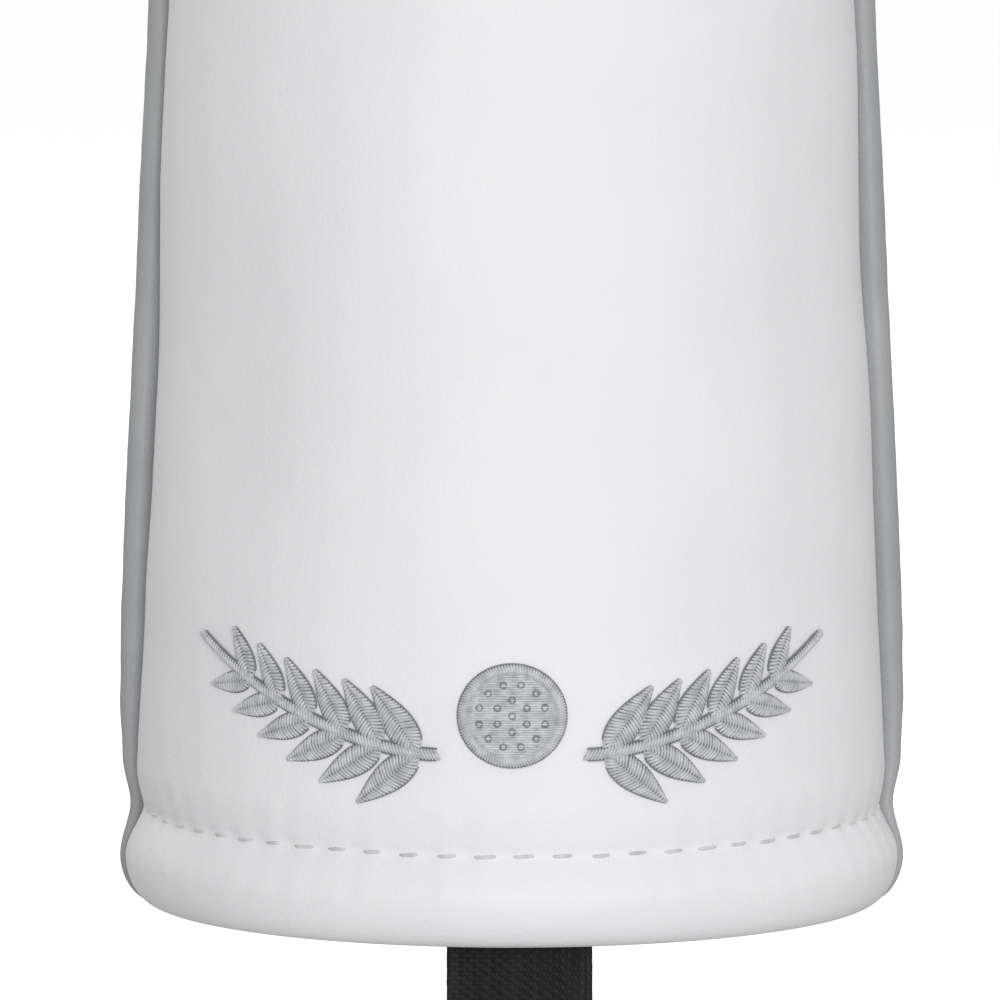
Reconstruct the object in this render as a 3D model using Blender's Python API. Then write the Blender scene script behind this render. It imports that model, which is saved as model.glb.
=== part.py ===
"""A driver head cover: a padded white sleeve with its opening at the bottom.

Metres, +Z up. The origin is the centre of the opening, in the plane of the rim. The front faces -Y and
the two side seams lie at -X and +X. Front and back panels meet in one seam that runs up one side, over
the crown and down the other, with a corded piping in it. Under the panels lie foam, an elastic and a
brushed lining. A webbing loop hangs from inside the front of the hem and swings about its upper edge.
"""

import math

import bmesh
import bpy
from mathutils import Vector

# Outer face of the leather: height, half width and half depth, from the hem roll to the widest place.
PROFILE = (
    (0.006, 0.0530, 0.0474),
    (0.012, 0.0508, 0.0456),
    (0.020, 0.0513, 0.0461),
    (0.040, 0.0502, 0.0454),
    (0.068, 0.0488, 0.0444),
    (0.096, 0.0475, 0.0432),
    (0.150, 0.0463, 0.0420),
    (0.185, 0.0492, 0.0440),
    (0.215, 0.0542, 0.0474),
    (0.250, 0.0585, 0.0505),
)
CROWN_HEIGHT = 0.318
CROWN_FULLNESS = 2.3  # 2 is an ellipse, more is a flatter crown

# Layers, as depths below the leather's outer face.
LEATHER = 0.0010
BACKING_DEPTH, BACKING = 0.0013, 0.0003
FOAM_DEPTH, FOAM, FOAM_BOTTOM = 0.0019, 0.0020, 0.0038
LINING_DEPTH, LINING, LINING_BOTTOM = 0.0042, 0.0012, 0.0040
ELASTIC = 0.0008
LABEL = 0.0004
GAP = 0.0003

# Hem: the leather turns under and up the inside. Each pair is a height and a depth.
HEM_ROLL_TOP = 0.006
HEM_STITCH = 0.012
HEM_OUTER_CORNER = 0.0042
HEM_INNER_CORNER = 0.0020
HEM_FLAT = 0.0020
TURN_UP = ((0.0155, 0.0073), (HEM_STITCH, 0.0074), (HEM_ROLL_TOP, 0.0081))

# Side and crown seam: the panels' edges turn in beside the piping.
SEAM_HALF = 0.0008
GROOVE_REACH = 0.0022
PIPING_RADIUS, PIPING_FLAT_RADIUS = 0.0019, 0.0005
PIPING_PROUD = 0.0013
PIPING_STRIP, PIPING_TAIL_HALF, PIPING_CHANNEL_LEAST = 0.0006, 0.00045, 0.00015
ACROSS_SEAM = Vector((0, 1, 0))
CORD_RADIUS = 0.0010
PIPING_START, PIPING_FULL = 0.010, 0.050
SEAM_THREAD_RADIUS = 0.00035
SEAM_THREAD_DEPTH = 0.0029
SEAM_THREAD_SIDE = 0.0026
HEM_THREAD_PROUD = 0.00065
FOAM_EDGE = 0.0034
LINING_EDGE = 0.0005

# Webbing loop and its root inside the hem.
STRAP_WIDTH = 0.019
WEBBING = 0.0013
STRAP_LENGTH = 0.060
PIVOT = Vector((0.0, -0.0362, -0.0020))
ROOT_TOP, ROOT_BOTTOM = 0.014, -0.0002
ROOT_OUTER_HALF_DEPTH, ROOT_HALF_WIDTH = 0.0375, 0.0420
TACK_DROP, TACK_PINCH = 0.013, 0.00015
TACK_WIDTH, TACK_THICKNESS, TACK_HEIGHT, TACK_EDGE = 0.0150, 0.0007, 0.0022, 0.0002
LOOP_CLOSED, LOOP_OPEN = 0.020, 0.0052
BOX_STITCH_HALF_WIDTH, BOX_STITCH_LOW, BOX_STITCH_HIGH = 0.0075, 0.0015, 0.0125
BOX_STITCH_LINE, BOX_STITCH_THICKNESS = 0.0008, 0.0005

# Where the grids that make the panels have their rows and columns.
HEM_BAND_ROWS = (0.009, 0.012, 0.016, 0.028, 0.048)
SLEEVE_ROWS = (0.070, 0.094, 0.118, 0.142, 0.160, 0.180, 0.202, 0.226, 0.250)
TUBE_ROWS = HEM_BAND_ROWS + SLEEVE_ROWS
CROWN_ROWS = (0.38, 0.70, 0.92, 1.0)
COLUMN_ANGLES = tuple(math.radians(90 + 17.4 * step) for step in range(-4, 5))
ELASTIC_ROWS = (0.142, 0.160)
BACKING_ROWS = (0.016, 0.028, 0.048)
LABEL_ROWS = (0.048, 0.070)

# Embroidery on the front, as arc length across and height, from its own centre.
MOTIF_HEIGHT = 0.0312
MOTIF_LIFT, MOTIF_THICKNESS = 0.0005, 0.0007
BALL_RADIUS = 0.0066
LEAF_PAIRS = 6
LEAF_LENGTH = 0.0108
STEM_HALF_WIDTH = 0.0004


def interpolated(table, at, column):
    """Reads a column of a table at a height, on a smooth curve that levels out at both ends."""
    heights = [row[0] for row in table]
    values = [row[column] for row in table]
    if at <= heights[0]:
        return values[0]
    if at >= heights[-1]:
        return values[-1]
    low = max(i for i in range(len(heights) - 1) if heights[i] <= at)

    def slope(i):
        if i == 0 or i == len(heights) - 1:
            return 0.0
        return (values[i + 1] - values[i - 1]) / (heights[i + 1] - heights[i - 1])

    span = heights[low + 1] - heights[low]
    t = (at - heights[low]) / span
    return (
        values[low] * (1 + 2 * t) * (1 - t) ** 2
        + slope(low) * span * t * (1 - t) ** 2
        + values[low + 1] * t * t * (3 - 2 * t)
        - slope(low + 1) * span * t * t * (1 - t)
    )


def half_width(height):
    return interpolated(PROFILE, height, 1)


def half_depth(height):
    return interpolated(PROFILE, height, 2)


CROWN_BASE, CROWN_HALF_WIDTH, CROWN_HALF_DEPTH = PROFILE[-1]
CROWN_RISE = CROWN_HEIGHT - CROWN_BASE


def tube_row(height, depth=0.0):
    """A level row: across gives its points, from -1 at the left seam to 1 at the right one."""

    def place(across, more, edge):
        inset = depth + more
        deep = half_depth(height) - inset
        reach = math.sqrt(1 - (edge / deep) ** 2)
        across = max(-reach, min(reach, across))
        out = math.sqrt(1 - across * across)
        return Vector(((half_width(height) - inset) * across, -deep * out, height))

    return place


def crown_row(share):
    """A row that bows up to the crown: share is 0 at the widest place and 1 on the crown seam."""

    def place(across, more, edge):
        deep = CROWN_HALF_DEPTH - more
        reach = math.sqrt(1 - (edge / deep) ** 2)
        side = across * math.sqrt(1 - share * share / 2)
        up = share * math.sqrt(1 - across * across / 2)
        length = math.hypot(side, up)
        if length > reach:
            side, up = side * reach / length, up * reach / length
        lift = (1 - (1 - up * up) ** (CROWN_FULLNESS / 2)) ** (1 / CROWN_FULLNESS)
        out = math.sqrt(max(0.0, 1 - side * side - up * up))
        height = CROWN_BASE + (CROWN_RISE - more) * lift
        return Vector(((CROWN_HALF_WIDTH - more) * side, -deep * out, height))

    return place


def hem_rows():
    """The turned-up hem, from its sewn edge inside, down, under the rim and up to the roll."""
    rows = [tube_row(height, depth) for height, depth in TURN_UP]
    inner_start = HEM_OUTER_CORNER + HEM_FLAT
    for step in range(4):
        turn = math.radians(30 * step)
        height = HEM_INNER_CORNER * (1 - math.sin(turn))
        rows.append(tube_row(height, inner_start + HEM_INNER_CORNER * math.cos(turn)))
    for step in range(5):
        turn = math.radians(90 - 22.5 * step)
        height = HEM_ROLL_TOP * (1 - math.sin(turn))
        rows.append(tube_row(height, HEM_OUTER_CORNER * (1 - math.cos(turn))))
    return rows


def body_rows(lowest):
    """Plain rows from a height up to the crown seam."""
    level = [tube_row(height) for height in TUBE_ROWS if height >= lowest]
    return level + [crown_row(share) for share in CROWN_ROWS]


PANEL_ROWS = hem_rows() + body_rows(TUBE_ROWS[0])
COLUMNS = [-1.0] + [-math.cos(angle) for angle in COLUMN_ANGLES] + [1.0]
LAST_ROW, LAST_COLUMN = len(PANEL_ROWS) - 1, len(COLUMNS) - 1


def seam_path(rows):
    """Points on the seam line, up the left side, over the crown and down the right, each with its way out."""
    points = [row(-1.0, 0.0, 0.0) for row in rows]
    points += [rows[-1](across, 0.0, 0.0) for across in COLUMNS[1:-1]]
    points += [row(1.0, 0.0, 0.0) for row in reversed(rows)]
    path = []
    for i, point in enumerate(points):
        along = points[min(i + 1, len(points) - 1)] - points[max(i - 1, 0)]
        path.append((Vector((point.x, 0, point.z)), Vector((-along.z, 0, along.x)).normalized()))
    return path


def seam_share(index, count, height):
    """0 in the hem, where the piping is flat, rising to 1 where the cord fills it."""
    in_hem = min(index, count - 1 - index) < len(hem_rows())
    if in_hem or height <= PIPING_START:
        return 0.0
    return min(1.0, (height - PIPING_START) / (PIPING_FULL - PIPING_START)) ** 0.6


def fold_inset(share):
    return 0.0003 + 0.0007 * share


def flange_inset(share):
    return 0.0014 + 0.0025 * share


def material(name, colour, roughness, metallic=0.0):
    made = bpy.data.materials.new(name)
    made.use_nodes = True
    shader = made.node_tree.nodes["Principled BSDF"]
    shader.inputs["Base Color"].default_value = (*colour, 1.0)
    shader.inputs["Roughness"].default_value = roughness
    shader.inputs["Metallic"].default_value = metallic
    return made


def add_object(name, data, finish, parent=None):
    made = bpy.data.objects.new(name, data)
    data.materials.append(finish)
    bpy.context.collection.objects.link(made)
    if parent:
        made.parent = parent
        made.matrix_parent_inverse = parent.matrix_world.inverted()
    return made


def mesh_object(name, bm, finish, parent=None):
    bmesh.ops.recalc_face_normals(bm, faces=bm.faces)
    mesh = bpy.data.meshes.new(name)
    bm.to_mesh(mesh)
    bm.free()
    mesh.shade_smooth()
    mesh.set_sharp_from_angle(angle=math.radians(40))
    return add_object(name, mesh, finish, parent)


def curve_object(name, points, radius, finish, sides_step=0, radii=None):
    """A round thread or cord along points."""
    curve = bpy.data.curves.new(name, "CURVE")
    curve.dimensions = "3D"
    curve.bevel_depth = radius
    curve.bevel_resolution = sides_step
    curve.use_fill_caps = True
    spline = curve.splines.new("POLY")
    spline.points.add(len(points) - 1)
    for i, point in enumerate(points):
        spline.points[i].co = (*point, 1.0)
        spline.points[i].radius = radii[i] if radii else 1.0
    return add_object(name, curve, finish)


def sheet_grid(rows, columns, depth_at, edge):
    """A grid of faces over rows and columns of the front surface, at a depth that each height may change."""
    bm = bmesh.new()
    bmesh.ops.create_grid(bm, x_segments=len(columns) - 1, y_segments=len(rows) - 1, size=1)
    table = {}
    for vert in bm.verts:
        i = round((vert.co.x + 1) / 2 * (len(columns) - 1))
        j = round((vert.co.y + 1) / 2 * (len(rows) - 1))
        table[i, j] = vert
    for (i, j), vert in table.items():
        level = rows[j](0.0, 0.0, edge).z
        vert.co = rows[j](columns[i], depth_at(level), edge)
    return bm, table


def turned_to_back(bm):
    """The back half is the front half turned half a turn about Z, which keeps its faces outwards."""
    for vert in bm.verts:
        vert.co = Vector((-vert.co.x, -vert.co.y, vert.co.z))


def solid_sheet(name, bm, thickness, finish, back):
    """Gives a sheet its thickness inwards."""
    bm.normal_update()
    if back:
        turned_to_back(bm)
    mesh = bpy.data.meshes.new(name)
    bm.to_mesh(mesh)
    bm.free()
    mesh.shade_smooth()
    mesh.set_sharp_from_angle(angle=math.radians(40))
    made = add_object(name, mesh, finish)
    wall = made.modifiers.new("Thickness", "SOLIDIFY")
    wall.thickness = thickness
    wall.offset = -1
    wall.use_even_offset = True
    wall.use_quality_normals = True
    return made


def panel(name, finish, back):
    """Leather panel: body and hem in one sheet, its seam edges extruded into the groove and the allowance."""
    bm, table = sheet_grid(PANEL_ROWS, COLUMNS, lambda height: 0.0, GROOVE_REACH)
    border = [table[0, j] for j in range(LAST_ROW + 1)]
    border += [table[i, LAST_ROW] for i in range(1, LAST_COLUMN)]
    border += [table[LAST_COLUMN, j] for j in range(LAST_ROW, -1, -1)]
    path = seam_path(PANEL_ROWS)
    for inset_at in (fold_inset, flange_inset):
        edges = [bm.edges.get((border[k], border[k + 1])) for k in range(len(border) - 1)]
        before = {vert: k for k, vert in enumerate(border)}
        grown = bmesh.ops.extrude_edge_only(bm, edges=edges)
        for vert in [item for item in grown["geom"] if isinstance(item, bmesh.types.BMVert)]:
            source = next(e.other_vert(vert) for e in vert.link_edges if e.other_vert(vert) in before)
            k = before[source]
            point, out = path[k]
            share = seam_share(k, len(path), point.z)
            vert.co = point - out * inset_at(share) - ACROSS_SEAM * SEAM_HALF
            border[k] = vert
    return solid_sheet(name, bm, LEATHER, finish, back)


def layer(name, depth_at, thickness, lowest, edge, finish, back):
    """A layer under the leather, from near the rim up to the crown seam."""
    rows = [tube_row(lowest), tube_row(HEM_ROLL_TOP)] + body_rows(TUBE_ROWS[0])
    bm, _ = sheet_grid(rows, COLUMNS, depth_at, edge)
    return solid_sheet(name, bm, thickness, finish, back)


def foam_depth(height):
    return FOAM_DEPTH


def front_lining_depth(height):
    return LINING_DEPTH


def back_lining_depth(height):
    """The back lining lies over the neck elastic."""
    over = ELASTIC_ROWS[0] - GAP <= height <= ELASTIC_ROWS[1] + GAP
    return LINING_DEPTH + (ELASTIC + GAP if over else 0.0)


def patch(name, heights, columns, depth, thickness, edge, finish, back=False):
    """A sheet over part of the panel's rows and columns."""
    rows = [tube_row(height) for height in heights]
    bm, _ = sheet_grid(rows, columns, lambda height: depth, edge)
    return solid_sheet(name, bm, thickness, finish, back)


def ring(bm, points):
    verts = [bm.verts.new(point) for point in points]
    return [bm.edges.new((verts[i], verts[(i + 1) % len(verts)])) for i in range(len(verts))]


def loft(bm, loops):
    for first, second in zip(loops, loops[1:]):
        bmesh.ops.bridge_loops(bm, edges=first + second)


def piping_cover(finish):
    """The strip folded round the cord: a tube with a tail that lies between the two seam allowances."""
    path = seam_path(PANEL_ROWS)
    bm = bmesh.new()
    outer_loops, inner_loops = [], []
    for k, (point, out) in enumerate(path):
        share = seam_share(k, len(path), point.z)
        radius = PIPING_FLAT_RADIUS + (PIPING_RADIUS - PIPING_FLAT_RADIUS) * share
        centre = point + out * PIPING_PROUD * share
        half_tail = PIPING_TAIL_HALF
        neck = math.pi - math.asin(half_tail / radius)
        outline = []
        for step in range(9):
            angle = -neck + 2 * neck * step / 8
            outline.append(centre + out * radius * math.cos(angle) + ACROSS_SEAM * radius * math.sin(angle))
        for side in (half_tail, -half_tail):
            outline.append(point - out * flange_inset(share) + ACROSS_SEAM * side)
        channel = max(PIPING_CHANNEL_LEAST, radius - PIPING_STRIP)
        hole = []
        for step in range(6):
            angle = math.radians(-150 + 60 * step)
            hole.append(centre + out * channel * math.cos(angle) + ACROSS_SEAM * channel * math.sin(angle))
        outer_loops.append(ring(bm, outline))
        inner_loops.append(ring(bm, hole))
    loft(bm, outer_loops)
    loft(bm, inner_loops)
    for end in (0, -1):
        bmesh.ops.triangle_fill(bm, edges=outer_loops[end] + inner_loops[end], use_beauty=True)
    return mesh_object("piping_cover", bm, finish)


def piping_cord(finish):
    path = seam_path(PANEL_ROWS)
    points, radii = [], []
    for k, (point, out) in enumerate(path):
        share = seam_share(k, len(path), point.z)
        cover = PIPING_FLAT_RADIUS + (PIPING_RADIUS - PIPING_FLAT_RADIUS) * share
        room = cover - PIPING_STRIP - GAP
        if room >= CORD_RADIUS / 2:
            points.append(point + out * PIPING_PROUD * share)
            radii.append(min(1.0, room * math.cos(math.pi / 6) / CORD_RADIUS))
    return curve_object("piping_cord", points, CORD_RADIUS, finish, 1, radii)


def seam_thread(name, finish, side):
    """One thread of the lockstitch, along the inner face of a seam allowance."""
    path = seam_path(PANEL_ROWS)
    points = []
    for k, (point, out) in enumerate(path):
        if seam_share(k, len(path), point.z) > 0.5:
            points.append(point - out * SEAM_THREAD_DEPTH + ACROSS_SEAM * side * SEAM_THREAD_SIDE)
    return curve_object(name, points, SEAM_THREAD_RADIUS, finish)


def hem_thread(name, finish, side):
    """The hem's stitching, a thread that lies on the leather from seam to seam."""
    wide = half_width(HEM_STITCH) + HEM_THREAD_PROUD
    deep = half_depth(HEM_STITCH) + HEM_THREAD_PROUD
    points = []
    for step in range(29):
        angle = math.radians(5 + 170 * step / 28)
        points.append(Vector((-wide * math.cos(angle) * -side, side * deep * math.sin(angle), HEM_STITCH)))
    return curve_object(name, points, SEAM_THREAD_RADIUS, finish)


def on_front(across, height, lift):
    """A point on the front, at an arc length from the middle and a height, lifted off the leather."""
    wide, deep = half_width(height) + lift, half_depth(height) + lift
    angle = across / ((half_width(height) + half_depth(height)) / 2)
    return Vector((wide * math.sin(angle), -deep * math.cos(angle), height))


def motif_object(name, outline, finish):
    """A flat outline, filled, laid on the curved front and given its thickness."""
    bm = bmesh.new()
    edges = ring(bm, [Vector((x, 0, z)) for x, z in outline])
    bmesh.ops.triangle_fill(bm, edges=edges, use_beauty=True, normal=(0, -1, 0))
    bmesh.ops.subdivide_edges(bm, edges=[e for e in bm.edges if e.calc_length() > 0.010], cuts=1)
    bmesh.ops.triangulate(bm, faces=bm.faces)
    for vert in bm.verts:
        vert.co = on_front(vert.co.x, MOTIF_HEIGHT + vert.co.z, MOTIF_LIFT)
    for face in bm.faces:
        face.normal_update()
        if face.normal.y > 0:
            face.normal_flip()
    mesh = bpy.data.meshes.new(name)
    bm.to_mesh(mesh)
    bm.free()
    made = add_object(name, mesh, finish)
    wall = made.modifiers.new("Thickness", "SOLIDIFY")
    wall.thickness = MOTIF_THICKNESS
    wall.offset = 1
    return made


def sprig_stem(share):
    """The stem's line, from beside the ball out to the tip."""
    return Vector((0.0100 + 0.0310 * share, -0.0052 + 0.0112 * share ** 1.6))


def leaf_outline(pair, side):
    """One leaf, from the side of its root nearest the tip of the sprig, round its point and back."""
    share = (pair + 0.35) / (LEAF_PAIRS + 0.4)
    ahead = sprig_stem(min(1.0, share + 0.05)) - sprig_stem(share)
    direction = math.atan2(ahead.y, ahead.x)
    root = sprig_stem(share) + Vector((-math.sin(direction), math.cos(direction))) * side * STEM_HALF_WIDTH
    heading = direction + side * math.radians(48 - 14 * share)
    length = LEAF_LENGTH * (1 - 0.36 * share)
    along = Vector((math.cos(heading), math.sin(heading)))
    back = Vector((-along.y, along.x)) * side
    half = ((0.08, 0.05), (0.25, 0.13), (0.50, 0.17), (0.80, 0.10))
    shape = [(where, -wide) for where, wide in half]
    shape += [(1.0, 0.0)]
    shape += [(where, wide) for where, wide in reversed(half)]
    return [root + (along * where + back * wide) * length for where, wide in shape]


def sprig_outline(mirror):
    """Out along the lower leaves, round the tip and back along the upper leaves."""
    start, beside = sprig_stem(0.0), Vector((0.0, STEM_HALF_WIDTH))
    outline = [start + beside, start - beside]
    for pair in range(LEAF_PAIRS):
        outline += reversed(leaf_outline(pair, -1))
    end = sprig_stem(1.0)
    outline += [end - Vector((0.0, 0.0008)), sprig_stem(1.2), end + Vector((-0.0006, 0.0010))]
    for pair in reversed(range(LEAF_PAIRS)):
        outline += leaf_outline(pair, 1)
    return [(-point.x if mirror else point.x, point.y) for point in outline]


def strap_width_faces(bm, faces):
    """Extrudes a profile that lies at the strap's left edge to its right edge."""
    grown = bmesh.ops.extrude_face_region(bm, geom=faces)
    moved = [item for item in grown["geom"] if isinstance(item, bmesh.types.BMVert)]
    bmesh.ops.translate(bm, verts=moved, vec=(STRAP_WIDTH, 0, 0))


def loop_spread(drop):
    """How far each layer's middle stands from the strap's middle, at a drop below the pivot."""
    bottom = STRAP_LENGTH - LOOP_OPEN
    share = max(0.0, min(1.0, (drop - LOOP_CLOSED) / (bottom - LOOP_CLOSED)))
    pinch = TACK_PINCH if drop == TACK_DROP else 0.0
    return WEBBING / 2 - pinch + (LOOP_OPEN - WEBBING / 2) * share * share * (3 - 2 * share)


def pull_strap(finish, parent):
    """Two layers of webbing that part below the tack and turn back in a round fold."""
    left = -STRAP_WIDTH / 2
    bm = bmesh.new()

    def side_line(proud, drops, side):
        return [(side * (loop_spread(drop) + proud), -drop) for drop in drops]

    def fold(proud):
        turn = [math.radians(180 * step / 8) for step in range(9)]
        middle = -(STRAP_LENGTH - LOOP_OPEN)
        radius = LOOP_OPEN + proud
        return [(-radius * math.cos(angle), middle - radius * math.sin(angle)) for angle in turn]

    inner_drops = [0.027, 0.034, 0.041, 0.048]
    outer_drops = [0.0, 0.0112, TACK_DROP, LOOP_CLOSED] + inner_drops
    inner_top = -0.0235
    half = WEBBING / 2
    outer = side_line(half, outer_drops, -1) + fold(half)
    outer += list(reversed(side_line(half, outer_drops, 1)))
    for step in (1, 2, 3):
        angle = math.radians(45 * step)
        outer.append((WEBBING * math.cos(angle), WEBBING * math.sin(angle)))
    inner = [(0.0, inner_top)] + side_line(-half, inner_drops, -1) + fold(-half)
    inner += list(reversed(side_line(-half, inner_drops, 1)))
    edges = ring(bm, [PIVOT + Vector((left, y, z)) for y, z in outer])
    edges += ring(bm, [PIVOT + Vector((left, y, z)) for y, z in inner])
    bmesh.ops.triangle_fill(bm, edges=edges, use_beauty=True, normal=(-1, 0, 0))
    strap_width_faces(bm, list(bm.faces))
    return mesh_object("pull_strap", bm, finish, parent)


def strap_root(finish):
    """The loop's two ends, laid together against the inside of the hem."""
    bm = bmesh.new()
    bmesh.ops.create_grid(bm, x_segments=4, y_segments=2, size=1)
    for vert in bm.verts:
        x = vert.co.x * STRAP_WIDTH / 2
        y = -ROOT_OUTER_HALF_DEPTH * math.sqrt(1 - (x / ROOT_HALF_WIDTH) ** 2)
        vert.co = Vector((x, y, ROOT_BOTTOM + (vert.co.y + 1) / 2 * (ROOT_TOP - ROOT_BOTTOM)))
    return solid_sheet("strap_root", bm, 2 * WEBBING, finish, False)


def root_stitching(finish):
    """A box stitch on the inner face of the root."""
    bm = bmesh.new()
    inner_face = ROOT_OUTER_HALF_DEPTH - 2 * WEBBING - 2 * GAP
    loops = []
    for inward in (0.0, BOX_STITCH_LINE):
        wide = BOX_STITCH_HALF_WIDTH - inward
        low, high = BOX_STITCH_LOW + inward, BOX_STITCH_HIGH - inward
        corners = ((-wide, low), (0, low), (wide, low), (wide, high), (0, high), (-wide, high))
        points = []
        for x, z in corners:
            y = -inner_face * math.sqrt(1 - (x / (ROOT_HALF_WIDTH - 2 * WEBBING)) ** 2)
            points.append(Vector((x, y, z)))
        loops.append(ring(bm, points))
    bmesh.ops.bridge_loops(bm, edges=loops[0] + loops[1])
    faces = list(bm.faces)
    grown = bmesh.ops.extrude_face_region(bm, geom=faces)
    moved = [item for item in grown["geom"] if isinstance(item, bmesh.types.BMVert)]
    bmesh.ops.translate(bm, verts=moved, vec=(0, BOX_STITCH_THICKNESS, 0))
    return mesh_object("root_stitching", bm, finish)


def strap_tack(name, side, finish, parent):
    """A dense bar of thread across the strap, on one face of it."""
    bm = bmesh.new()
    bmesh.ops.create_cube(bm, size=1)
    middle = PIVOT + Vector((0, side * (WEBBING + GAP + TACK_THICKNESS / 2), -TACK_DROP))
    for vert in bm.verts:
        size = Vector((vert.co.x * TACK_WIDTH, vert.co.y * TACK_THICKNESS, vert.co.z * TACK_HEIGHT))
        vert.co = middle + size
    bmesh.ops.bevel(bm, geom=bm.edges[:], offset=TACK_EDGE, segments=1, affect="EDGES")
    return mesh_object(name, bm, finish, parent)


def clear_scene():
    for old in list(bpy.data.objects):
        bpy.data.objects.remove(old, do_unlink=True)


def build():
    clear_scene()
    white_leather = material("white_leather", (0.80, 0.81, 0.82), 0.45)
    piping_leather = material("piping_leather", (0.33, 0.33, 0.34), 0.5)
    cord_cotton = material("cord_cotton", (0.60, 0.58, 0.53), 0.9)
    white_thread = material("white_thread", (0.62, 0.62, 0.62), 0.6)
    foam = material("foam", (0.62, 0.60, 0.52), 0.95)
    stabiliser = material("stabiliser", (0.75, 0.75, 0.74), 0.9)
    knit = material("knit_lining", (0.035, 0.035, 0.038), 0.95)
    elastic = material("elastic", (0.06, 0.06, 0.06), 0.8)
    silver_thread = material("silver_thread", (0.42, 0.43, 0.44), 0.45)
    webbing = material("black_webbing", (0.015, 0.015, 0.016), 0.7)
    black_thread = material("black_thread", (0.02, 0.02, 0.02), 0.6)
    satin = material("label_satin", (0.70, 0.70, 0.68), 0.5)

    swing = bpy.data.objects.new("strap_swing_axis", None)
    swing.location = PIVOT
    bpy.context.collection.objects.link(swing)
    bpy.context.view_layer.update()

    for word, back in (("front", False), ("back", True)):
        side = 1 if back else -1
        panel(f"{word}_panel", white_leather, back)
        layer(f"padding_{word}", foam_depth, FOAM, FOAM_BOTTOM, FOAM_EDGE, foam, back)
        lining_depth = back_lining_depth if back else front_lining_depth
        layer(f"lining_{word}", lining_depth, LINING, LINING_BOTTOM, LINING_EDGE, knit, back)
        seam_thread(f"seam_thread_{word}", white_thread, side)
        hem_thread(f"hem_thread_{word}", white_thread, side)

    piping_cover(piping_leather)
    piping_cord(cord_cotton)
    patch("neck_elastic", ELASTIC_ROWS, COLUMNS, LINING_DEPTH, ELASTIC, FOAM_EDGE, elastic, back=True)
    patch("embroidery_backing", BACKING_ROWS, COLUMNS[1:-1], BACKING_DEPTH, BACKING, 0.0, stabiliser)
    label_depth = LINING_DEPTH + LINING + GAP
    patch("care_label", LABEL_ROWS, COLUMNS[4:7], label_depth, LABEL, 0.0, satin, back=True)

    motif_object("embroidery_right", sprig_outline(False), silver_thread)
    motif_object("embroidery_left", sprig_outline(True), silver_thread)
    angles = [math.radians(360 * step / 16) for step in range(16)]
    circle = [(BALL_RADIUS * math.cos(angle), BALL_RADIUS * math.sin(angle)) for angle in angles]
    motif_object("embroidery_ball", circle, silver_thread)

    strap_root(webbing)
    root_stitching(black_thread)
    pull_strap(webbing, swing)
    strap_tack("strap_tack_front", -1, black_thread, swing)
    strap_tack("strap_tack_back", 1, black_thread, swing)


build()
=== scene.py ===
"""A driver head cover: a padded white sleeve with its opening down, corded side seams and a webbing loop."""

import math
import random

import bpy
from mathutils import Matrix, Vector, noise


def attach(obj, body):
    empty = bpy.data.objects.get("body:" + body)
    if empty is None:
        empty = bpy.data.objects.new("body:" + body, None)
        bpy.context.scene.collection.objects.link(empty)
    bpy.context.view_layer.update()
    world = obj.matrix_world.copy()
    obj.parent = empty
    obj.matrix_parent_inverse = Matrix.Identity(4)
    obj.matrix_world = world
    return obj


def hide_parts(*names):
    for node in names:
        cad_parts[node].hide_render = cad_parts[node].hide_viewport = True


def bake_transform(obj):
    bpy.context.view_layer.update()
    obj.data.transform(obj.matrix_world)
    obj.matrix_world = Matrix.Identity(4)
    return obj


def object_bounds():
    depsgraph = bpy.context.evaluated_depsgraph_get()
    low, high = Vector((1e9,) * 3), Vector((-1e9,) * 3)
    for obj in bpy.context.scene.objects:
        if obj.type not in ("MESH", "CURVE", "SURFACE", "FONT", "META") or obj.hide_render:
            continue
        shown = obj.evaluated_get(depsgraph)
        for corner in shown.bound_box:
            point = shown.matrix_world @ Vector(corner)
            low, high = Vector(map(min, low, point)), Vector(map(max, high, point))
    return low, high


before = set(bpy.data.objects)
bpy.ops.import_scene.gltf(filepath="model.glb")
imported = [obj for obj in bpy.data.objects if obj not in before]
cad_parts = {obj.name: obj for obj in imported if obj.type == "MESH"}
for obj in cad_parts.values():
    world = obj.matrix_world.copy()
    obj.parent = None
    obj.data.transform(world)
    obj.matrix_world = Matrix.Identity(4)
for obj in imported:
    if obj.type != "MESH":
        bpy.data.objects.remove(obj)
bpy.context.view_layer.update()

# ---- Camera ------------------------------------------------------------------------------------------
# The camera stands in front of the sleeve and a little above it, and takes in the lower part: the hem,
# the embroidery and the top of the loop.
VIEW_DISTANCE = 1.05
VIEW_FIELD = 0.137
VIEW_ELEVATION = math.radians(5.85)
VIEW_TARGET = Vector((-0.0016, 0.0, 0.0550))
SENSOR = 36.0

bpy.ops.object.select_all(action="DESELECT")
view_offset = Vector((0, -math.cos(VIEW_ELEVATION), math.sin(VIEW_ELEVATION))) * VIEW_DISTANCE
bpy.ops.object.camera_add(location=VIEW_TARGET + view_offset, rotation=(math.pi / 2 - VIEW_ELEVATION, 0, 0))
camera = bpy.context.object
camera.name = "camera"
camera.data.sensor_width = SENSOR
camera.data.lens = SENSOR * VIEW_DISTANCE / VIEW_FIELD
bpy.context.scene.camera = camera

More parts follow.
